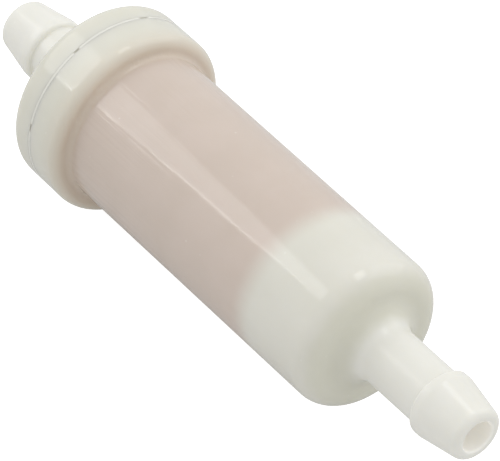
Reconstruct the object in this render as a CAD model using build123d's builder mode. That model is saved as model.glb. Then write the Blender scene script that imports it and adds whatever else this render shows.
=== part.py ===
from build123d import *
import math
import os

# In-line fuel filter. A nylon canister and its flanged end cap are spin-welded round a pleated paper element.
# The filter's axis is X. The inlet barb points along +X and the outlet barb along -X.
# The origin is on the axis at mid-length. All lengths are in millimetres.

os.makedirs("parts", exist_ok=True)

# --- Driving dimensions ---------------------------------------------------------------------------------
length = 94.6
body_r = 10.6
body_draft = 0.12
wall = 1.5
end_wall = 2.0
shoulder_rounding = 3.0
flange_r = 13.17
small_rounding = 0.2

# Hose barbs for 5/16 in hose
neck_r = 3.97
crest_r = 4.64
tip_r = 3.55
tip_round = 1.0
barb_bore_r = 2.2
cone_length = 6.25
crest_land = 1.3
crest_back = 0.1
cone_rounding = 1.5
crest_rounding = 0.5
neck_rounding = 0.2
mouth_rounding = 0.3
inlet_length = 19.75
inlet_root_rounding = 3.1
outlet_length = 16.25
outlet_root_rounding = 1.5

# Flange, from its front face to its back face, with the weld between the two mouldings
flange_width = 9.45
weld_from_front = 5.3
flange_front_rounding = 1.4
flange_back_rounding = 1.8
flange_root_rounding = 0.8
weld_film = 0.3
film_edge_rounding = 0.3
film_inset = 0.07
weld_groove_r = 11.4
weld_groove_width = 0.9
groove_depth_canister = 1.4
groove_depth_cap = 0.8

# Seat for the element's open end plate
seat_depth = 1.0
seat_r = 10.6
seat_gap = 0.1
seal_thickness = 1.0
seal_inset = 0.25
plate_thickness = 1.4
chamber_r = 8.4
chamber_rounding = 1.2
cap_wall = 2.5

# Element
element_end_x = 14.4
paper_outer_r = 8.2
paper_inner_r = 4.2
paper_thickness = 0.28
pleat_count = 28
tip_share = 0.24
root_share = 0.36
core_outer_r = 3.8
core_bore_r = 3.0
window_length = 2.4
window_width = 1.5
window_rows = 8
windows_per_row = 6
cup_r = 8.8
cup_wall = 0.45
cup_depth = 1.5
cup_rounding = 0.6
spigot_gap = 0.05
potting_thickness = 1.2
open_potting_thickness = 2.8
open_potting_r = 9.0
potting_rounding = 0.3
spigot_length = 2.0
seam_height = 0.22
seam_width = 0.7
seam_rounding = 0.1

# --- Places along the axis ------------------------------------------------------------------------------
inlet_tip = length / 2
outlet_tip = -length / 2
end_face = inlet_tip - inlet_length
flange_back = outlet_tip + outlet_length
flange_front = flange_back + flange_width
weld_x = flange_front - weld_from_front
film_front = weld_x + weld_film / 2
film_back = weld_x - weld_film / 2
bore_end = end_face - end_wall
seat_x = flange_front - seat_depth
plate_front = seat_x - seal_thickness
plate_back = plate_front - plate_thickness
chamber_end = flange_back + cap_wall
potting_front = plate_front + open_potting_thickness
cup_floor = element_end_x + potting_thickness
body_r_flange = body_r + body_draft
inner_r = body_r - wall
inner_r_flange = body_r_flange - wall


def outline(corners):
    """Draw a closed line through (x, radius, rounding) corners, each rounded as it says."""
    places = [(x, radius) for x, radius, rounding in corners]
    roundings = [rounding for x, radius, rounding in corners]
    FilletPolyline(*places, radius=roundings, close=True)


def barb(tip, towards_body, root, root_rounding):
    """Corners of a hose barb from its tip to its root; towards_body is -1 or 1 along X."""
    crest = tip + towards_body * cone_length
    land_end = crest + towards_body * crest_land
    neck_start = land_end + towards_body * crest_back
    return [
        (tip, tip_r, tip_round),
        (crest, crest_r, cone_rounding),
        (land_end, crest_r, crest_rounding),
        (neck_start, neck_r, neck_rounding),
        (root, neck_r, root_rounding),
    ]


def ring(front, back, outer_r, hole_r, rounding=0):
    """Corners of a plain ring between two places on the axis."""
    return [
        (front, hole_r, 0),
        (front, outer_r, rounding),
        (back, outer_r, rounding),
        (back, hole_r, 0),
    ]


# --- Mouldings ------------------------------------------------------------------------------------------
with BuildPart() as canister:
    with BuildSketch(Plane.XY):
        with BuildLine():
            outline(
                barb(inlet_tip, -1, end_face, inlet_root_rounding)
                + [
                    (end_face, body_r, shoulder_rounding),
                    (flange_front, body_r_flange, flange_root_rounding),
                    (flange_front, flange_r, flange_front_rounding),
                    (film_front, flange_r, film_edge_rounding),
                    (film_front, weld_groove_r + weld_groove_width, 0),
                    (film_front + groove_depth_canister, weld_groove_r + weld_groove_width, small_rounding),
                    (film_front + groove_depth_canister, weld_groove_r, small_rounding),
                    (film_front, weld_groove_r, 0),
                    (film_front, seat_r, 0),
                    (seat_x, seat_r, 0),
                    (seat_x, inner_r_flange, small_rounding),
                    (bore_end, inner_r, shoulder_rounding - wall),
                    (bore_end, barb_bore_r, 0),
                    (inlet_tip, barb_bore_r, mouth_rounding),
                ]
            )
        make_face()
    revolve(axis=Axis.X)

with BuildPart() as end_cap:
    with BuildSketch(Plane.XY):
        with BuildLine():
            outline(
                barb(outlet_tip, 1, flange_back, outlet_root_rounding)
                + [
                    (flange_back, flange_r, flange_back_rounding),
                    (film_back, flange_r, film_edge_rounding),
                    (film_back, weld_groove_r + weld_groove_width, 0),
                    (film_back - groove_depth_cap, weld_groove_r + weld_groove_width, small_rounding),
                    (film_back - groove_depth_cap, weld_groove_r, small_rounding),
                    (film_back, weld_groove_r, 0),
                    (film_back, seat_r - seat_gap, 0),
                    (plate_back, seat_r - seat_gap, 0),
                    (plate_back, chamber_r, small_rounding),
                    (chamber_end, chamber_r, chamber_rounding),
                    (chamber_end, barb_bore_r, 0),
                    (outlet_tip, barb_bore_r, mouth_rounding),
                ]
            )
        make_face()
    revolve(axis=Axis.X)

# Nylon that melted and set again when the cap was spun on: a thin film with a bead in the middle
with BuildPart() as weld_bead:
    with BuildSketch(Plane.XY):
        with BuildLine():
            outline(
                [
                    (film_front, seat_r, 0),
                    (film_front, weld_groove_r, 0),
                    (film_front + groove_depth_canister, weld_groove_r, small_rounding),
                    (film_front + groove_depth_canister, weld_groove_r + weld_groove_width, small_rounding),
                    (film_front, weld_groove_r + weld_groove_width, 0),
                    (film_front, flange_r - film_inset - weld_film, 0),
                    (weld_x, flange_r - film_inset, film_inset),
                    (film_back, flange_r - film_inset - weld_film, 0),
                    (film_back, weld_groove_r + weld_groove_width, 0),
                    (film_back - groove_depth_cap, weld_groove_r + weld_groove_width, small_rounding),
                    (film_back - groove_depth_cap, weld_groove_r, small_rounding),
                    (film_back, weld_groove_r, 0),
                    (film_back, seat_r, 0),
                ]
            )
        make_face()
    revolve(axis=Axis.X)

# --- Element --------------------------------------------------------------------------------------------
pitch = 2 * math.pi / pleat_count
fold_corners = []
for pleat in range(pleat_count):
    middle = pleat * pitch
    for share, radius in (
        (-root_share, paper_inner_r),
        (-tip_share, paper_outer_r),
        (tip_share, paper_outer_r),
        (root_share, paper_inner_r),
    ):
        angle = middle + share * pitch
        fold_corners.append((radius * math.sin(angle), -radius * math.cos(angle)))

with BuildPart() as pleated_paper:
    with BuildSketch(Plane.YZ.offset(potting_front)):
        with BuildLine():
            Polyline(*fold_corners, close=True)
        make_face()
        offset(amount=-paper_thickness, kind=Kind.INTERSECTION, mode=Mode.SUBTRACT)
    extrude(amount=element_end_x - potting_front)

# Glue strip along the lowest pleat, where the two ends of the paper meet
seam_outer_r = paper_outer_r * math.cos(tip_share * pitch) + seam_height
with BuildPart() as side_seam:
    with BuildSketch(Plane.YZ.offset(potting_front)):
        with Locations((0, seam_height / 2 - seam_outer_r)):
            Rectangle(seam_width, seam_height)
    extrude(amount=element_end_x - cup_depth - potting_front)
    fillet(side_seam.edges().filter_by(Axis.X).group_by(Axis.Z)[0], seam_rounding)

with BuildPart() as core_tube:
    with BuildSketch(Plane.XY):
        with BuildLine():
            outline(ring(cup_floor, plate_front, core_outer_r, core_bore_r))
        make_face()
    revolve(axis=Axis.X)
    window_pitch = (cup_floor - plate_front) / (window_rows + 1)
    window_middle = (cup_floor + plate_front) / 2
    for turn in range(windows_per_row // 2):
        window_plane = Plane(
            origin=(window_middle, 0, 0),
            x_dir=(1, 0, 0),
            z_dir=(0, math.cos(turn * math.pi / 3), math.sin(turn * math.pi / 3)),
        )
        with BuildSketch(window_plane):
            with GridLocations(window_pitch, window_pitch, window_rows, 1):
                SlotOverall(window_length, window_width)
        extrude(amount=core_outer_r * 2, both=True, mode=Mode.SUBTRACT)

with BuildPart() as closed_end_disc:
    with BuildSketch(Plane.XY):
        with BuildLine():
            outline(
                [
                    (cup_floor - spigot_length, 0, 0),
                    (cup_floor - spigot_length, core_bore_r - spigot_gap, potting_rounding),
                    (cup_floor, core_bore_r - spigot_gap, 0),
                    (cup_floor, cup_r - cup_wall, 0),
                    (cup_floor - cup_depth, cup_r - cup_wall, 0),
                    (cup_floor - cup_depth, cup_r, small_rounding),
                    (cup_floor + plate_thickness, cup_r, cup_rounding),
                    (cup_floor + plate_thickness, 0, 0),
                ]
            )
        make_face()
    revolve(axis=Axis.X)

with BuildPart() as potting_closed:
    with BuildSketch(Plane.XY):
        with BuildLine():
            outline(ring(cup_floor, element_end_x, cup_r - cup_wall, core_outer_r))
        make_face()
    revolve(axis=Axis.X)

with BuildPart() as potting_open:
    with BuildSketch(Plane.XY):
        with BuildLine():
            outline(ring(potting_front, plate_front, open_potting_r, core_outer_r, potting_rounding))
        make_face()
    revolve(axis=Axis.X)

with BuildPart() as open_end_disc:
    with BuildSketch(Plane.XY):
        with BuildLine():
            outline(ring(plate_front, plate_back, seat_r - seat_gap, core_bore_r))
        make_face()
    revolve(axis=Axis.X)

with BuildPart() as seal_ring:
    with BuildSketch(Plane.XY):
        with BuildLine():
            outline(ring(seat_x, plate_front, seat_r - seat_gap, inner_r_flange + seal_inset, small_rounding))
        make_face()
    revolve(axis=Axis.X)

# --- Labels and files -----------------------------------------------------------------------------------
pieces = {
    "canister": canister,
    "end_cap": end_cap,
    "weld_bead": weld_bead,
    "pleated_paper": pleated_paper,
    "side_seam": side_seam,
    "core_tube": core_tube,
    "closed_end_disc": closed_end_disc,
    "potting_closed": potting_closed,
    "potting_open": potting_open,
    "open_end_disc": open_end_disc,
    "seal_ring": seal_ring,
}
for label, piece in pieces.items():
    piece.part.label = label
    export_step(piece.part, f"parts/{label}.step")
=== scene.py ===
import math

import bmesh
import bpy
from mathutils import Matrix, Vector, noise


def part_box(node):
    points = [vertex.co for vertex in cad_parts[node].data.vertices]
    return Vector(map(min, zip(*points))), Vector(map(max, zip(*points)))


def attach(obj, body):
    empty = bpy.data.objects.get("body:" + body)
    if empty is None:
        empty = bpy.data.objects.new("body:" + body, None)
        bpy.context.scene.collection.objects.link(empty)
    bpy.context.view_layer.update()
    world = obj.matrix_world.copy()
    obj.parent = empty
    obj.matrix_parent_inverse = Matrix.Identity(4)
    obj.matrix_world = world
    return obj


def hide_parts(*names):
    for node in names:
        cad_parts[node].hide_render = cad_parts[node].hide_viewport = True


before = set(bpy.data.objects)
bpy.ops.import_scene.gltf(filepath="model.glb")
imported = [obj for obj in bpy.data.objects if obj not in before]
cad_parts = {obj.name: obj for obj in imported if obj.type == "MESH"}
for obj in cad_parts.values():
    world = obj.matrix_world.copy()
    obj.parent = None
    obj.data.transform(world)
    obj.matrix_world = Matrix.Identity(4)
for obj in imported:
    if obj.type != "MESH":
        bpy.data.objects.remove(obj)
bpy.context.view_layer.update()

scene = bpy.context.scene
MM = 0.001

# --- Sizes, in metres ------------------------------------------------------------------------------------
# Places along the axis come from the frame; radii and roundings are the moulds' own.
canister_low, canister_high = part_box("canister")
cap_low, cap_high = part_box("end_cap")
paper_low, paper_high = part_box("pleated_paper")
open_potting_low, open_potting_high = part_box("potting_open")
closed_potting_low, closed_potting_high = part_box("potting_closed")

inlet_tip = canister_high.x
outlet_tip = cap_low.x
film_front = canister_low.x
film_back = film_front - 0.3 * MM
tongue_end = cap_high.x
flange_r = canister_high.y

body_r = 10.6 * MM
body_r_flange = 10.72 * MM
wall = 1.5 * MM
end_wall = 2.0 * MM
shoulder_rounding = 3.0 * MM

neck_r = 3.97 * MM
crest_r = 4.64 * MM
tip_r = 3.55 * MM
tip_rounding = 1.0 * MM
barb_bore_r = 2.2 * MM
mouth_rounding = 0.3 * MM
cone_length = 6.25 * MM
crest_land = 1.3 * MM
crest_back = 0.1 * MM
cone_rounding = 1.5 * MM
crest_rounding = 0.5 * MM
neck_rounding = 0.2 * MM

end_face = inlet_tip - 19.75 * MM
flange_back = outlet_tip + 16.25 * MM
flange_front = flange_back + 9.45 * MM
inlet_root_rounding = 3.1 * MM
outlet_root_rounding = 1.5 * MM
flange_front_rounding = 1.4 * MM
flange_back_rounding = 1.8 * MM
flange_root_rounding = 0.8 * MM

seam_edge_rounding = 0.03 * MM
groove_r = 11.4 * MM
groove_outer_r = 12.3 * MM
groove_front = film_front + 1.4 * MM
groove_back = film_back - 0.8 * MM
seat_r = 10.6 * MM
seat_x = flange_front - 1.0 * MM
tongue_r = 10.5 * MM
chamber_r = 8.4 * MM
chamber_end = flange_back + 2.5 * MM
chamber_rounding = 1.2 * MM
small_rounding = 0.2 * MM

flash_inset = 0.008 * MM
ripple_height = 0.012 * MM
ripples_per_metre = 1500
gap_depth = 0.14 * MM
# Where the flash has broken away: degrees from the underside, and how long each gap is, in degrees
flash_gaps = [(18, 5), (96, 3), (157, 7), (204, 5), (257, 6), (318, 4)]

pleat_count = 28
# How far a pleat sways to either side, as a share of the pitch
pleat_sway = 0.05
sways_per_metre = 120
sway_step_between_pleats = 3.1
cuts_along_paper = 24
paper_outer_r = 8.2 * MM
paper_inner_r = 4.2 * MM
paper_thickness = 0.28 * MM
core_outer_r = 3.8 * MM
creep_height = 0.18 * MM
# Half a fold, from its tip to its valley: share of the pitch, share of the way out from the core
fold_profile = [(0.0, 1.0), (0.15, 0.985), (0.24, 0.93), (0.36, 0.06), (0.5, 0.0)]

turn_steps = 192
ring_spacing = 1.6 * MM
ring_margin = 0.2 * MM
bevel_step = math.radians(7)
smooth_angle = math.radians(30)


# --- Modelling helpers -----------------------------------------------------------------------------------
def start_clean():
    """Object mode with nothing selected, so that an operator acts only on the piece it is meant for."""
    if bpy.context.object and bpy.context.object.mode != "OBJECT":
        bpy.ops.object.mode_set(mode="OBJECT")
    bpy.ops.object.select_all(action="DESELECT")


def make_active(piece):
    start_clean()
    bpy.context.view_layer.objects.active = piece
    piece.select_set(True)


def apply_modifiers(piece):
    make_active(piece)
    for modifier in list(piece.modifiers):
        bpy.ops.object.modifier_apply(modifier=modifier.name)


def make_normals_point_out(piece):
    make_active(piece)
    bpy.ops.object.mode_set(mode="EDIT")
    bpy.ops.mesh.select_all(action="SELECT")
    bpy.ops.mesh.normals_make_consistent(inside=False)
    bpy.ops.object.mode_set(mode="OBJECT")


def finish_piece(piece):
    """Smooth shading that keeps real corners, and keeps flat stretches flat beside their roundings."""
    make_active(piece)
    bpy.ops.object.shade_smooth_by_angle(angle=smooth_angle)
    weighted = piece.modifiers.new("even_normals", "WEIGHTED_NORMAL")
    weighted.keep_sharp = True
    apply_modifiers(piece)


def select_rings(piece, rings):
    """In edit mode, select only the edges of the rings at these (x, radius) places."""
    bpy.ops.mesh.select_all(action="DESELECT")
    cage = bmesh.from_edit_mesh(piece.data)
    near = 0.002 * MM
    for edge in cage.edges:
        for x, r in rings:
            if all(abs(v.co.x - x) < near and abs(v.co.yz.length - r) < near for v in edge.verts):
                edge.select_set(True)
    bmesh.update_edit_mesh(piece.data)


def rounding_of(corners, index):
    """How far from its corner a rounding starts, and the angle that it turns through."""
    x, r, rounding = corners[index]
    before = corners[index - 1]
    after = corners[(index + 1) % len(corners)]
    turn = Vector((x - before[0], r - before[1])).angle(Vector((after[0] - x, after[1] - r)))
    return rounding * math.tan(turn / 2), turn


def stations(corners):
    """The outline's corners, with plain rings between them so that no span is long.
    The plain rings stay clear of the roundings."""
    places = [corners[0][:2]]
    for index in range(len(corners) - 1):
        start = Vector(corners[index][:2])
        end = Vector(corners[index + 1][:2])
        step = (end - start).normalized()
        first = start + step * (rounding_of(corners, index)[0] + ring_margin)
        last = end - step * (rounding_of(corners, index + 1)[0] + ring_margin)
        spans = round((last - first).dot(step) / ring_spacing)
        if spans > 0 and start.x != end.x:
            places += [tuple(first.lerp(last, span / spans)) for span in range(spans + 1)]
        places.append(tuple(end))
    return places


def turned(name, corners, steps=turn_steps):
    """A ring-shaped piece on the X axis. A circle is extruded along a closed outline of (x, radius, rounding)
    corners, the last ring is bridged to the first, and each rounded corner's ring is bevelled."""
    start_clean()
    rings = stations(corners)
    here_x, here_r = rings[0]
    bpy.ops.mesh.primitive_circle_add(
        vertices=steps, radius=here_r, location=(here_x, 0, 0), rotation=(0, math.pi / 2, 0)
    )
    piece = bpy.context.object
    piece.name = name
    bpy.ops.object.transform_apply(location=True, rotation=True, scale=True)
    bpy.ops.object.mode_set(mode="EDIT")
    bpy.ops.mesh.select_mode(type="EDGE")
    bpy.ops.mesh.select_all(action="SELECT")
    for x, r in rings[1:]:
        bpy.ops.mesh.extrude_edges_move(TRANSFORM_OT_translate={"value": (x - here_x, 0, 0)})
        if r != here_r:
            bpy.ops.transform.resize(value=(1, r / here_r, r / here_r), center_override=(x, 0, 0))
        here_x, here_r = x, r
    select_rings(piece, [rings[0], rings[-1]])
    bpy.ops.mesh.bridge_edge_loops()
    for index, corner in enumerate(corners):
        if corner[2]:
            width, turn = rounding_of(corners, index)
            select_rings(piece, [corner[:2]])
            bpy.ops.mesh.bevel(
                offset_type="OFFSET",
                offset=width,
                segments=max(3, round(turn / bevel_step)),
                affect="EDGES",
                clamp_overlap=False,
            )
    bpy.ops.object.mode_set(mode="OBJECT")
    make_normals_point_out(piece)
    return piece


# --- Shape of each piece ---------------------------------------------------------------------------------
def barb(tip, towards_body, root, root_rounding):
    """Corners of a hose barb from its tip to its root; towards_body is -1 or 1 along X."""
    crest = tip + towards_body * cone_length
    land_end = crest + towards_body * crest_land
    neck_start = land_end + towards_body * crest_back
    return [
        (tip, tip_r, tip_rounding),
        (crest, crest_r, cone_rounding),
        (land_end, crest_r, crest_rounding),
        (neck_start, neck_r, neck_rounding),
        (root, neck_r, root_rounding),
    ]


def make_canister():
    outline = barb(inlet_tip, -1, end_face, inlet_root_rounding) + [
        (end_face, body_r, shoulder_rounding),
        (flange_front, body_r_flange, flange_root_rounding),
        (flange_front, flange_r, flange_front_rounding),
        (film_front, flange_r, seam_edge_rounding),
        (film_front, groove_outer_r, 0),
        (groove_front, groove_outer_r, small_rounding),
        (groove_front, groove_r, small_rounding),
        (film_front, groove_r, 0),
        (film_front, seat_r, 0),
        (seat_x, seat_r, 0),
        (seat_x, body_r_flange - wall, small_rounding),
        (end_face - end_wall, body_r - wall, shoulder_rounding - wall),
        (end_face - end_wall, barb_bore_r, 0),
        (inlet_tip, barb_bore_r, mouth_rounding),
    ]
    return turned("canister_shell", outline)


def make_end_cap():
    outline = barb(outlet_tip, 1, flange_back, outlet_root_rounding) + [
        (flange_back, flange_r, flange_back_rounding),
        (film_back, flange_r, seam_edge_rounding),
        (film_back, groove_outer_r, 0),
        (groove_back, groove_outer_r, small_rounding),
        (groove_back, groove_r, small_rounding),
        (film_back, groove_r, 0),
        (film_back, tongue_r, 0),
        (tongue_end, tongue_r, 0),
        (tongue_end, chamber_r, small_rounding),
        (chamber_end, chamber_r, chamber_rounding),
        (chamber_end, barb_bore_r, 0),
        (outlet_tip, barb_bore_r, mouth_rounding),
    ]
    return turned("end_cap_shell", outline)


def make_weld_flash():
    """The re-melted ring between the mouldings: its rim is uneven, and broken away at a few places."""
    rim_r = flange_r - flash_inset
    outline = [
        (film_front, seat_r, 0),
        (film_front, groove_r, 0),
        (groove_front, groove_r, small_rounding),
        (groove_front, groove_outer_r, small_rounding),
        (film_front, groove_outer_r, 0),
        (film_front, rim_r, 0),
        (film_back, rim_r, 0),
        (film_back, groove_outer_r, 0),
        (groove_back, groove_outer_r, small_rounding),
        (groove_back, groove_r, small_rounding),
        (film_back, groove_r, 0),
        (film_back, seat_r, 0),
    ]
    flash = turned("weld_flash", outline, steps=turn_steps * 2)
    broken = flash.data.attributes.new("broken", "FLOAT", "POINT")
    for vertex in flash.data.vertices:
        radius = vertex.co.yz.length
        angle = math.degrees(math.atan2(vertex.co.y, -vertex.co.z)) % 360
        gap = max(0, max(1 - abs(2 * (angle - middle) / length) ** 3 for middle, length in flash_gaps))
        broken.data[vertex.index].value = gap
        if radius > rim_r - small_rounding:
            ripple = abs(noise.noise(vertex.co * ripples_per_metre)) * ripple_height
            scale = (radius - ripple - gap * gap_depth) / radius
            vertex.co.y *= scale
            vertex.co.z *= scale
    return flash


def make_paper():
    """A tube with eight columns of vertices to a pleat, folded in towards the core.
    The sheet then gets its thickness on its inner side."""
    start_clean()
    columns = 2 * (len(fold_profile) - 1)
    length = paper_high.x - paper_low.x
    bpy.ops.mesh.primitive_cylinder_add(
        vertices=pleat_count * columns,
        radius=paper_outer_r,
        depth=length,
        end_fill_type="NOTHING",
        location=((paper_low.x + paper_high.x) / 2, 0, 0),
        rotation=(0, math.pi / 2, 0),
    )
    paper = bpy.context.object
    paper.name = "paper_pleats"
    bpy.ops.object.transform_apply(location=True, rotation=True, scale=True)
    bpy.ops.object.mode_set(mode="EDIT")
    bpy.ops.mesh.select_mode(type="EDGE")
    bpy.ops.mesh.select_all(action="DESELECT")
    cage = bmesh.from_edit_mesh(paper.data)
    for edge in cage.edges:
        edge.select_set(abs(edge.verts[0].co.x - edge.verts[1].co.x) > length / 2)
    bmesh.update_edit_mesh(paper.data)
    bpy.ops.mesh.subdivide(number_cuts=cuts_along_paper)
    bpy.ops.object.mode_set(mode="OBJECT")
    pitch = 2 * math.pi / pleat_count
    for vertex in paper.data.vertices:
        turn = math.atan2(vertex.co.y, -vertex.co.z) / pitch
        pleat = math.floor(turn + 0.5)
        column = round((turn - pleat) * columns)
        share, rise = fold_profile[min(abs(column), columns // 2)]
        sway_at = Vector((vertex.co.x * sways_per_metre, pleat * sway_step_between_pleats, 0))
        sway = noise.noise(sway_at) * pleat_sway
        angle = (pleat + math.copysign(share, column) + sway) * pitch
        radius = paper_inner_r + (paper_outer_r - paper_inner_r) * rise
        vertex.co.y = radius * math.sin(angle)
        vertex.co.z = -radius * math.cos(angle)
    sheet = paper.modifiers.new("paper_thickness", "SOLIDIFY")
    sheet.thickness = paper_thickness
    sheet.offset = -1
    apply_modifiers(paper)
    make_normals_point_out(paper)
    return paper


def potting_ring(name, low, high):
    """An adhesive ring round the core, whose face creeps a little up and down from pleat to pleat."""
    middle_r = (high.y + core_outer_r) / 2
    outline = [
        (high.x, core_outer_r, 0),
        (high.x, middle_r, 0),
        (high.x, high.y, small_rounding),
        (low.x, high.y, small_rounding),
        (low.x, core_outer_r, 0),
    ]
    ring = turned(name, outline, steps=pleat_count * 8)
    for vertex in ring.data.vertices:
        if abs(vertex.co.yz.length - middle_r) < small_rounding:
            angle = math.atan2(vertex.co.y, -vertex.co.z)
            vertex.co.x -= creep_height * (0.5 + 0.5 * math.cos(angle * pleat_count))
    return ring


def make_open_potting():
    return potting_ring("open_potting", open_potting_low, open_potting_high)


def make_closed_potting():
    return potting_ring("closed_potting", closed_potting_low, closed_potting_high)


# --- Shader node helpers ---------------------------------------------------------------------------------
def new_group(name, inputs, outputs):
    """A shader node group with named sockets; inputs and outputs are (name, kind, value) rows."""
    group = bpy.data.node_groups.new(name, "ShaderNodeTree")
    for socket_name, kind, value in inputs:
        socket = group.interface.new_socket(socket_name, in_out="INPUT", socket_type="NodeSocket" + kind)
        if value is not None:
            socket.default_value = value
    for socket_name, kind, value in outputs:
        group.interface.new_socket(socket_name, in_out="OUTPUT", socket_type="NodeSocket" + kind)
    start = group.nodes.new("NodeGroupInput")
    end = group.nodes.new("NodeGroupOutput")
    return group, start, end


def add_node(tree, kind, settings=None, values=None):
    node = tree.nodes.new(kind)
    for key, value in (settings or {}).items():
        setattr(node, key, value)
    for key, value in (values or {}).items():
        node.inputs[key].default_value = value
    return node


def math_node(tree, operation, first, second=None):
    """A Math node of one or two inputs, each a socket or a number."""
    node = add_node(tree, "ShaderNodeMath", {"operation": operation})
    for index, value in enumerate((first, second)):
        if value is None:
            continue
        if isinstance(value, (int, float)):
            node.inputs[index].default_value = value
        else:
            tree.links.new(value, node.inputs[index])
    return node.outputs[0]


def ramp_between(tree, value, none_at, full_at):
    """A smooth ramp that is 0 at none_at and 1 at full_at; either may be the greater."""
    node = add_node(
        tree,
        "ShaderNodeMapRange",
        {"interpolation_type": "SMOOTHSTEP"},
        {"From Min": none_at, "From Max": full_at},
    )
    tree.links.new(value, node.inputs["Value"])
    return node.outputs["Result"]


def mix_colors(tree, factor, first, second, blend="MIX"):
    """A Mix node on colours; the factor and both colours are sockets or values."""
    node = add_node(
        tree, "ShaderNodeMix", {"data_type": "RGBA", "blend_type": blend, "clamp_factor": True}
    )
    for socket, value in ((node.inputs[0], factor), (node.inputs[6], first), (node.inputs[7], second)):
        if isinstance(value, (int, float, tuple)):
            socket.default_value = value
        else:
            tree.links.new(value, socket)
    return node.outputs[2]


def object_place(tree):
    return tree.nodes.new("ShaderNodeTexCoord").outputs["Object"]


def axis_and_radius(tree, place):
    """Place along the filter's axis, and distance from it, in metres."""
    split = tree.nodes.new("ShaderNodeSeparateXYZ")
    tree.links.new(place, split.inputs[0])
    across = tree.nodes.new("ShaderNodeCombineXYZ")
    tree.links.new(split.outputs["Y"], across.inputs["Y"])
    tree.links.new(split.outputs["Z"], across.inputs["Z"])
    length = add_node(tree, "ShaderNodeVectorMath", {"operation": "LENGTH"})
    tree.links.new(across.outputs[0], length.inputs[0])
    return split.outputs["X"], length.outputs["Value"]


def noise_on(tree, place, per_metre, detail, stretch=(1, 1, 1), roughness=0.5):
    """Noise of this many blobs to a metre; a stretch under 1 draws it out along that axis."""
    mapping = add_node(tree, "ShaderNodeMapping", values={"Scale": stretch})
    tree.links.new(place, mapping.inputs["Vector"])
    texture = add_node(
        tree, "ShaderNodeTexNoise", values={"Scale": per_metre, "Detail": detail, "Roughness": roughness}
    )
    tree.links.new(mapping.outputs[0], texture.inputs["Vector"])
    return texture.outputs["Fac"]


# --- Effects that several finishes share -----------------------------------------------------------------
# Light that comes through a barb's thin wall, and into its bore near the mouth
barb_glow = (0.05, 0.048, 0.043, 1)
bore_glow = (0.15, 0.142, 0.14, 1)

# Drawn-out noise runs along the axis: long waves, and lines that are longer still
wave_stretch = (0.22, 1, 1)
line_stretch = (0.02, 1, 1)

# Each zone is a pair: where its effect is nothing, and where it is full. These are places along the axis.
drag_line_zone = (5 * MM, -20 * MM)
paper_front_zone = (paper_high.x + 2.4 * MM, paper_high.x - 1.8 * MM)
paper_back_zone = (flange_front - 1.2 * MM, flange_front + 0.6 * MM)
# The glue ring's zones and radii also place painted shade in the corner of body and flange, and painted
# bounce light on the flange's face.
glue_and_shade_front_zone = (flange_front + 1.3 * MM, flange_front + 0.2 * MM)
glue_and_shade_back_zone = (flange_front - 3.5 * MM, flange_front - 0.3 * MM)
# The end face's zone and radii place painted shade: the end face is darkened in its colour.
shaded_end_zone = (end_face - 1.6 * MM, end_face - 0.2 * MM)
barb_zone = (end_face + 0.4 * MM, end_face + 2.4 * MM)
mouth_zone = (inlet_tip - 9 * MM, inlet_tip - 2 * MM)

# These are distances from the axis.
drag_line_radii = (body_r_flange + 1.2 * MM, body_r_flange + 0.2 * MM)
paper_radii = (body_r_flange + 0.9 * MM, body_r_flange + 0.1 * MM)
glue_and_shade_radii = (flange_r + 1.3 * MM, body_r_flange + 0.2 * MM)
shaded_end_radii = (neck_r + 0.05 * MM, neck_r + 0.55 * MM)
flange_radii = (body_r + 0.4 * MM, body_r + 1.4 * MM)
barb_radii = (neck_r + 1.6 * MM, neck_r + 0.75 * MM)
bore_radii = (barb_bore_r + 0.3 * MM, barb_bore_r + 0.05 * MM)

paper_edge_sway = 0.8 * MM
flange_thickness = 0.5
cloud_contrast = (0.3, 0.7)
cloud_shade = (0.965, 0.965, 0.955, 1)
no_shade = (1.0, 1.0, 1.0, 1)
no_glow = (0, 0, 0, 1)


def build_moulded_surface():
    """Long shallow waves and fine drag lines along the mould's draw, as a height, with a cloudiness mask."""
    tree, start, end = new_group(
        "moulded_surface",
        [("Waves", "Float", 1.0), ("Drag Lines", "Float", 0.3), ("Grain", "Float", 0.1)],
        [("Height", "Float", None), ("Cloud", "Float", None)],
    )
    place = object_place(tree)
    x, r = axis_and_radius(tree, place)
    waves = noise_on(tree, place, 260, 1.0, wave_stretch)
    lines = noise_on(tree, place, 1300, 2.0, line_stretch)
    grain = noise_on(tree, place, 9000, 2.0)
    wave_height = math_node(tree, "MULTIPLY", waves, start.outputs["Waves"])
    line_height = math_node(tree, "MULTIPLY", lines, start.outputs["Drag Lines"])
    line_height = math_node(tree, "MULTIPLY", line_height, ramp_between(tree, x, *drag_line_zone))
    line_height = math_node(tree, "MULTIPLY", line_height, ramp_between(tree, r, *drag_line_radii))
    grain_height = math_node(tree, "MULTIPLY", grain, start.outputs["Grain"])
    height = math_node(tree, "ADD", wave_height, line_height)
    height = math_node(tree, "ADD", height, grain_height)
    tree.links.new(height, end.inputs["Height"])
    tree.links.new(noise_on(tree, place, 140, 3.0), end.inputs["Cloud"])
    return tree


def paper_mask(tree, place, x, r):
    """Along the body, from a swaying edge near the closed end to the flange."""
    edge_sway = math_node(tree, "MULTIPLY", noise_on(tree, place, 200, 1.0), paper_edge_sway)
    swayed_x = math_node(tree, "ADD", x, edge_sway)
    front = ramp_between(tree, swayed_x, *paper_front_zone)
    along = math_node(tree, "MULTIPLY", front, ramp_between(tree, x, *paper_back_zone))
    return math_node(tree, "MULTIPLY", along, ramp_between(tree, r, *paper_radii))


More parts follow.
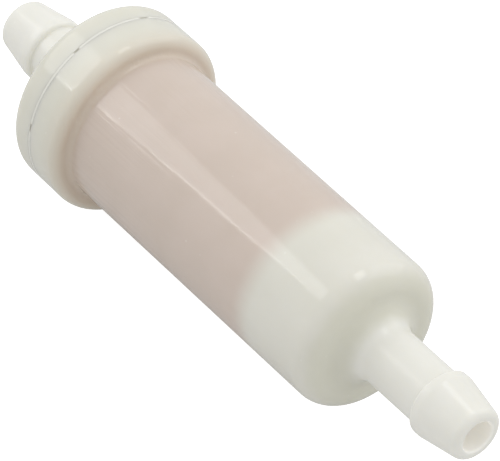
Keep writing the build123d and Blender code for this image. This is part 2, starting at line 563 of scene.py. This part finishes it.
def glue_and_corner_shade_mask(tree, x, r):
    """A ring in the corner of body and flange, fading out towards the flange's rim: glue seen through the
    wall, with painted shade in the corner and painted bounce light from the paper on the flange's face.
    """
    front = ramp_between(tree, x, *glue_and_shade_front_zone)
    ring = math_node(tree, "MULTIPLY", front, ramp_between(tree, r, *glue_and_shade_radii))
    return math_node(tree, "MULTIPLY", ring, ramp_between(tree, x, *glue_and_shade_back_zone))


def shaded_end_and_thick_flange_mask(tree, x, r):
    """The end face in full, where its darker tone is painted shade, and the flange by half, where the thicker
    nylon is yellower.
    """
    at_end = ramp_between(tree, x, *shaded_end_zone)
    at_end = math_node(tree, "MULTIPLY", at_end, ramp_between(tree, r, *shaded_end_radii))
    at_flange = math_node(tree, "MULTIPLY", ramp_between(tree, r, *flange_radii), flange_thickness)
    return math_node(tree, "MAXIMUM", at_end, at_flange)


def build_seen_through_wall():
    """The milky wall takes the colour of what lies behind it: paper along the body, glue at the flange.
    Painted shade darkens the corner at the flange and the end face, painted bounce light from the paper tints
    the flange's face, and painted light makes the barbs lighter.
    """
    tree, start, end = new_group(
        "seen_through_wall",
        [
            ("Nylon", "Color", (0.8, 0.8, 0.75, 1)),
            ("Thick And Shaded Nylon", "Color", (0.7, 0.7, 0.6, 1)),
            ("Paper", "Color", (0.7, 0.6, 0.5, 1)),
            ("Glue And Corner Shade", "Color", (0.5, 0.4, 0.3, 1)),
            ("Lit Barb Nylon", "Color", (0.9, 0.9, 0.85, 1)),
            ("Cloud", "Float", 0.5),
        ],
        [("Color", "Color", None), ("Glow", "Color", None), ("Barb", "Float", None)],
    )
    place = object_place(tree)
    x, r = axis_and_radius(tree, place)
    from_middle = math_node(tree, "ABSOLUTE", x)
    past_root = ramp_between(tree, from_middle, *barb_zone)
    on_barb = math_node(tree, "MULTIPLY", past_root, ramp_between(tree, r, *barb_radii))
    # Painted shade on the end face, and the thick nylon's tone on the flange.
    thick_and_shaded = shaded_end_and_thick_flange_mask(tree, x, r)
    color = mix_colors(tree, thick_and_shaded, start.outputs["Nylon"], start.outputs["Thick And Shaded Nylon"])
    # Painted light: the barbs are made lighter, as if lit through their thin walls.
    color = mix_colors(tree, on_barb, color, start.outputs["Lit Barb Nylon"])
    color = mix_colors(tree, paper_mask(tree, place, x, r), color, start.outputs["Paper"])
    # Glue seen through the wall, with painted corner shade and painted bounce light from the paper.
    color = mix_colors(tree, glue_and_corner_shade_mask(tree, x, r), color, start.outputs["Glue And Corner Shade"])
    cloud = ramp_between(tree, start.outputs["Cloud"], *cloud_contrast)
    shade = mix_colors(tree, cloud, cloud_shade, no_shade)
    color = mix_colors(tree, 1.0, color, shade, "MULTIPLY")
    tree.links.new(color, end.inputs["Color"])
    tree.links.new(on_barb, end.inputs["Barb"])
    near_mouth = ramp_between(tree, from_middle, *mouth_zone)
    in_bore = math_node(tree, "MULTIPLY", ramp_between(tree, r, *bore_radii), near_mouth)
    glow = mix_colors(tree, on_barb, no_glow, barb_glow)
    tree.links.new(mix_colors(tree, in_bore, glow, bore_glow), end.inputs["Glow"])
    return tree


def build_fine_dust():
    """Sparse pale specks, as a mask: a speck in the middle of a few of the cells."""
    tree, start, end = new_group(
        "fine_dust", [("Amount", "Float", 0.5), ("Scale", "Float", 900.0)], [("Mask", "Float", None)]
    )
    cells = tree.nodes.new("ShaderNodeTexVoronoi")
    tree.links.new(object_place(tree), cells.inputs["Vector"])
    tree.links.new(start.outputs["Scale"], cells.inputs["Scale"])
    speck = ramp_between(tree, cells.outputs["Distance"], 0.16, 0.05)
    few = ramp_between(tree, cells.outputs["Color"], 0.82, 0.86)
    mask = math_node(tree, "MULTIPLY", speck, few)
    tree.links.new(math_node(tree, "MULTIPLY", mask, start.outputs["Amount"]), end.inputs["Mask"])
    return tree


moulded_surface = build_moulded_surface()
seen_through_wall = build_seen_through_wall()
fine_dust = build_fine_dust()


def place_group(tree, group, values):
    return add_node(tree, "ShaderNodeGroup", {"node_tree": group}, values)


def new_material(name, shader_values):
    material = bpy.data.materials.new(name)
    material.use_nodes = True
    shader = material.node_tree.nodes["Principled BSDF"]
    for key, value in shader_values.items():
        shader.inputs[key].default_value = value
    return material, material.node_tree, shader


def add_bump(tree, shader, height, distance):
    bump = add_node(tree, "ShaderNodeBump", values={"Distance": distance})
    tree.links.new(height, bump.inputs["Height"])
    tree.links.new(bump.outputs[0], shader.inputs["Normal"])


def add_roughness(tree, shader, texture, none_at, full_at):
    """Roughness that follows a texture; with a ramp wider than 0 to 1 it varies only a little."""
    tree.links.new(ramp_between(tree, texture, none_at, full_at), shader.inputs["Roughness"])


# --- Finishes --------------------------------------------------------------------------------------------
nylon_ior = 1.53
adhesive_ior = 1.5
rubber_ior = 1.5

# How far red, green and blue light travel in a material, before its scale
milky_radius = (1.0, 0.97, 0.88)
amber_radius = (1.0, 0.6, 0.3)

white_nylon = (0.835, 0.822, 0.748, 1)
# Painted light: the barbs are lighter, as if lit through their thin walls.
lit_barb_nylon = (0.86, 0.855, 0.805, 1)
# Painted shade on the end face, and the yellower tone of thick nylon on the flange.
thick_and_shaded_nylon = (0.80, 0.79, 0.69, 1)
paper_behind_wall = (0.715, 0.615, 0.545, 1)
# Glue seen through the wall, darkened by painted shade in the corner of body and flange.
glue_and_corner_shade = (0.76, 0.655, 0.545, 1)
dust_on_nylon = (0.95, 0.94, 0.9, 1)
dust_on_element = (0.9, 0.88, 0.82, 1)


def natural_nylon(name, paper, adhesive, drag_lines):
    """Milky nylon as moulded: light goes into it. It is glossy and a little wavy, and duller on the barbs."""
    gloss, cloudy_gloss, barb_dullness = 0.06, 0.06, 0.13
    material, tree, shader = new_material(
        name,
        {
            "IOR": nylon_ior,
            "Emission Strength": 1.0,
            "Subsurface Weight": 0.6,
            "Subsurface Radius": milky_radius,
            "Subsurface Scale": 1.2 * MM,
        },
    )
    surface = place_group(tree, moulded_surface, {"Waves": 1.6, "Drag Lines": drag_lines, "Grain": 0.004})
    colour = place_group(
        tree,
        seen_through_wall,
        {
            "Nylon": white_nylon,
            # Painted shade on the end face, and thick nylon's tone on the flange.
            "Thick And Shaded Nylon": thick_and_shaded_nylon,
            # Painted light on the barbs.
            "Lit Barb Nylon": lit_barb_nylon,
            "Paper": paper,
            # This colour holds glue seen through the wall, and painted corner shade.
            "Glue And Corner Shade": adhesive,
        },
    )
    dust = place_group(tree, fine_dust, {"Amount": 0.3, "Scale": 800.0})
    tree.links.new(surface.outputs["Cloud"], colour.inputs["Cloud"])
    base = mix_colors(tree, dust.outputs["Mask"], colour.outputs["Color"], dust_on_nylon)
    tree.links.new(base, shader.inputs["Base Color"])
    tree.links.new(colour.outputs["Glow"], shader.inputs["Emission Color"])
    rough = math_node(tree, "MULTIPLY", surface.outputs["Cloud"], cloudy_gloss)
    rough = math_node(tree, "ADD", rough, gloss)
    barb_rough = math_node(tree, "MULTIPLY", colour.outputs["Barb"], barb_dullness)
    tree.links.new(math_node(tree, "ADD", rough, barb_rough), shader.inputs["Roughness"])
    add_bump(tree, shader, surface.outputs["Height"], 0.05 * MM)
    return material


def weld_nylon():
    """Nylon that melted and set again: duller and streaky, and darker where the flash has broken away."""
    streak_deep, streak_pale = (0.85, 0.84, 0.76, 1), (0.89, 0.88, 0.81, 1)
    gap_shade = (0.50, 0.48, 0.41, 1)
    material, tree, shader = new_material("weld_nylon", {"IOR": nylon_ior})
    gaps = add_node(tree, "ShaderNodeAttribute", {"attribute_name": "broken"}).outputs["Fac"]
    streaks = noise_on(tree, object_place(tree), 1400, 3.0)
    base = mix_colors(tree, streaks, streak_deep, streak_pale)
    base = mix_colors(tree, gaps, base, gap_shade)
    tree.links.new(base, shader.inputs["Base Color"])
    add_roughness(tree, shader, streaks, -0.4, 1.6)
    add_bump(tree, shader, streaks, 0.04 * MM)
    return material


def filter_paper():
    """Resin-treated paper: fibres as fine grain, with painted shade darkening its valleys."""
    fibre_deep, fibre_pale = (0.72, 0.46, 0.38, 1), (0.86, 0.62, 0.53, 1)
    blotch, painted_valley_shade = (0.80, 0.56, 0.46, 1), (0.52, 0.30, 0.24, 1)
    valley_depth = 0.45
    material, tree, shader = new_material("filter_paper", {"Roughness": 0.9, "Sheen Weight": 0.2})
    place = object_place(tree)
    radius = axis_and_radius(tree, place)[1]
    fibres = noise_on(tree, place, 5200, 5.0, roughness=0.7)
    blotches = ramp_between(tree, noise_on(tree, place, 420, 2.0), 0.35, 0.75)
    valleys = ramp_between(tree, radius, paper_outer_r, paper_inner_r)
    base = mix_colors(tree, fibres, fibre_deep, fibre_pale)
    base = mix_colors(tree, blotches, base, blotch)
    # Painted shade in the valleys of the pleats.
    base = mix_colors(tree, math_node(tree, "MULTIPLY", valleys, valley_depth), base, painted_valley_shade)
    tree.links.new(base, shader.inputs["Base Color"])
    add_roughness(tree, shader, fibres, -2.0, 1.2)
    add_bump(tree, shader, fibres, 0.06 * MM)
    return material


def amber_adhesive(name, pale, deep):
    """Set adhesive: glossy, with a few trapped bubbles."""
    material, tree, shader = new_material(
        name,
        {
            "IOR": adhesive_ior,
            "Subsurface Weight": 0.3,
            "Subsurface Radius": amber_radius,
            "Subsurface Scale": MM,
        },
    )
    flow = noise_on(tree, object_place(tree), 700, 3.0)
    bubbles = place_group(tree, fine_dust, {"Amount": 1.0, "Scale": 1700.0}).outputs["Mask"]
    base = mix_colors(tree, flow, pale, deep)
    base = mix_colors(tree, bubbles, base, pale)
    tree.links.new(base, shader.inputs["Base Color"])
    add_roughness(tree, shader, flow, -0.6, 2.4)
    add_bump(tree, shader, math_node(tree, "SUBTRACT", flow, bubbles), 0.08 * MM)
    return material


def satin_nylon(name, pale, deep, smoothest, roughest):
    """The element's own mouldings: plain nylon, satin, with grain and drag lines."""
    material, tree, shader = new_material(
        name,
        {
            "IOR": nylon_ior,
            "Subsurface Weight": 0.4,
            "Subsurface Radius": milky_radius,
            "Subsurface Scale": MM,
        },
    )
    surface = place_group(tree, moulded_surface, {"Waves": 0.5, "Drag Lines": 0.5, "Grain": 0.15})
    dust = place_group(tree, fine_dust, {"Amount": 0.5, "Scale": 1200.0})
    base = mix_colors(tree, surface.outputs["Cloud"], deep, pale)
    base = mix_colors(tree, dust.outputs["Mask"], base, dust_on_element)
    tree.links.new(base, shader.inputs["Base Color"])
    rough = math_node(tree, "MULTIPLY", surface.outputs["Cloud"], roughest - smoothest)
    tree.links.new(math_node(tree, "ADD", rough, smoothest), shader.inputs["Roughness"])
    add_bump(tree, shader, surface.outputs["Height"], 0.05 * MM)
    return material


def brown_rubber():
    """Fuel-proof rubber with a paler bloom on it."""
    material, tree, shader = new_material("seal_rubber", {"IOR": rubber_ior, "Sheen Weight": 0.15})
    place = object_place(tree)
    grain = noise_on(tree, place, 6000, 4.0)
    bloom = noise_on(tree, place, 350, 2.0)
    base = mix_colors(tree, bloom, (0.30, 0.20, 0.14, 1), (0.42, 0.31, 0.22, 1))
    tree.links.new(base, shader.inputs["Base Color"])
    add_roughness(tree, shader, grain, -1.0, 1.4)
    add_bump(tree, shader, grain, 0.05 * MM)
    return material


# --- Camera, lights and floor ----------------------------------------------------------------------------
def towards(azimuth, elevation):
    """Unit vector from the object to a place at this azimuth and elevation, in degrees; azimuth 0 is -Y."""
    a, e = math.radians(azimuth), math.radians(elevation)
    return Vector((math.sin(a) * math.cos(e), -math.cos(a) * math.cos(e), math.sin(e)))


def make_camera():
    """A long lens from above the inlet barb, aimed a little beside the origin."""
    azimuth, elevation, distance = 53.1, 43.1, 538.3 * MM
    aim_right, aim_down = 1.389 * MM, 1.367 * MM
    focal_length, sensor_width = 310.8, 36
    back = towards(azimuth, elevation)
    right = Vector((math.cos(math.radians(azimuth)), math.sin(math.radians(azimuth)), 0))
    up = back.cross(right)
    aim = right * aim_right - up * aim_down
    data = bpy.data.cameras.new("camera")
    data.lens = focal_length
    data.sensor_width = sensor_width
    data.clip_start = 10 * MM
    data.clip_end = 10
    camera = bpy.data.objects.new("camera", data)
    scene.collection.objects.link(camera)
    camera.location = aim + back * distance
    camera.rotation_euler = back.to_track_quat("Z", "Y").to_euler()
    scene.camera = camera


def make_softbox(name, azimuth, tilt, distance, height, size, power):
    """A rectangular light on a stand this far off and this high; tilted 0 degrees, it stands upright."""
    data = bpy.data.lights.new(name, "AREA")
    data.shape = "RECTANGLE"
    data.size, data.size_y = size
    data.energy = power
    light = bpy.data.objects.new(name, data)
    scene.collection.objects.link(light)
    light.location = towards(azimuth, 0) * distance + Vector((0, 0, height))
    light.rotation_euler = towards(azimuth, tilt).to_track_quat("Z", "Y").to_euler()


def make_world(strength):
    """Even white light from all round."""
    world = bpy.data.worlds.new("studio")
    scene.world = world
    world.use_nodes = True
    background = world.node_tree.nodes["Background"]
    background.inputs["Color"].default_value = (1, 1, 1, 1)
    background.inputs["Strength"].default_value = strength


def make_floor(glow, bounce):
    """A pale floor that looks white to the camera, by its glow, and throws less light back up: its bounce."""
    floor_size = 3
    gap_under_flange = 0.1 * MM
    start_clean()
    bpy.ops.mesh.primitive_plane_add(size=floor_size, location=(0, 0, -flange_r - gap_under_flange))
    floor = bpy.context.object
    floor.name = "floor"
    material, tree, shader = new_material("pale_floor", {"Roughness": 0.9, "Specular IOR Level": 0.0})
    mottle = noise_on(tree, object_place(tree), 60, 3.0)
    base = mix_colors(tree, mottle, (0.54, 0.54, 0.54, 1), (0.56, 0.56, 0.555, 1))
    tree.links.new(base, shader.inputs["Base Color"])
    shader.inputs["Emission Color"].default_value = (1, 1, 1, 1)
    seen = tree.nodes.new("ShaderNodeLightPath").outputs["Is Camera Ray"]
    strength = math_node(tree, "MULTIPLY", seen, glow - bounce)
    tree.links.new(math_node(tree, "ADD", strength, bounce), shader.inputs["Emission Strength"])
    floor.data.materials.append(material)


make_camera()
make_floor(glow=0.85, bounce=0.15)
make_world(strength=0.72)
# Azimuth and tilt in degrees; distance, height, width and length in metres; power in watts
make_softbox("band_softbox", -68, 0, 0.60, 0.54, (0.485, 0.46), 1.0)
make_softbox("edge_strip", -46.5, 0, 0.60, 0.42, (0.012, 0.20), 0.03)
make_softbox("top_softbox", 180, 73, 0.175, 0.575, (0.36, 0.16), 0.37)
make_softbox("side_softbox", 165, 35, 0.74, 0.52, (0.8, 0.8), 1.3)
scene.view_settings.view_transform = "Standard"


# --- Assembly --------------------------------------------------------------------------------------------
canister_nylon = natural_nylon("canister_nylon", paper_behind_wall, glue_and_corner_shade, drag_lines=1.4)
cap_nylon = natural_nylon("cap_nylon", white_nylon, thick_and_shaded_nylon, drag_lines=0.3)
core_nylon = satin_nylon("core_nylon", (0.82, 0.80, 0.74, 1), (0.74, 0.72, 0.65, 1), 0.35, 0.5)
plate_nylon = satin_nylon("plate_nylon", (0.84, 0.82, 0.76, 1), (0.77, 0.75, 0.68, 1), 0.3, 0.45)
glue_strip = amber_adhesive("glue_strip", (0.80, 0.66, 0.46, 1), (0.66, 0.50, 0.32, 1))
potting_amber = amber_adhesive("potting_amber", (0.66, 0.47, 0.27, 1), (0.48, 0.31, 0.15, 1))


def replace_node(piece, node, material):
    """The finished piece takes its CAD node's place and finish, and stays with the body."""
    piece.data.materials.clear()
    piece.data.materials.append(material)
    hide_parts(node)
    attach(piece, "root")


replaced = [
    (make_canister(), "canister", "natural_nylon", canister_nylon),
    (make_end_cap(), "end_cap", "natural_nylon", cap_nylon),
    (make_weld_flash(), "weld_bead", "weld_nylon", weld_nylon()),
    (make_paper(), "pleated_paper", "filter_paper", filter_paper()),
    (make_open_potting(), "potting_open", "potting", potting_amber),
    (make_closed_potting(), "potting_closed", "potting", potting_amber),
]
for piece, node, slot, material in replaced:
    finish_piece(piece)
    replace_node(piece, node, material)

kept = {
    "core_tube": core_nylon,
    "closed_end_disc": plate_nylon,
    "open_end_disc": plate_nylon,
    "side_seam": glue_strip,
    "seal_ring": brown_rubber(),
}
for node, material in kept.items():
    mesh = bpy.data.objects[node].data
    mesh.materials.clear()
    mesh.materials.append(material)
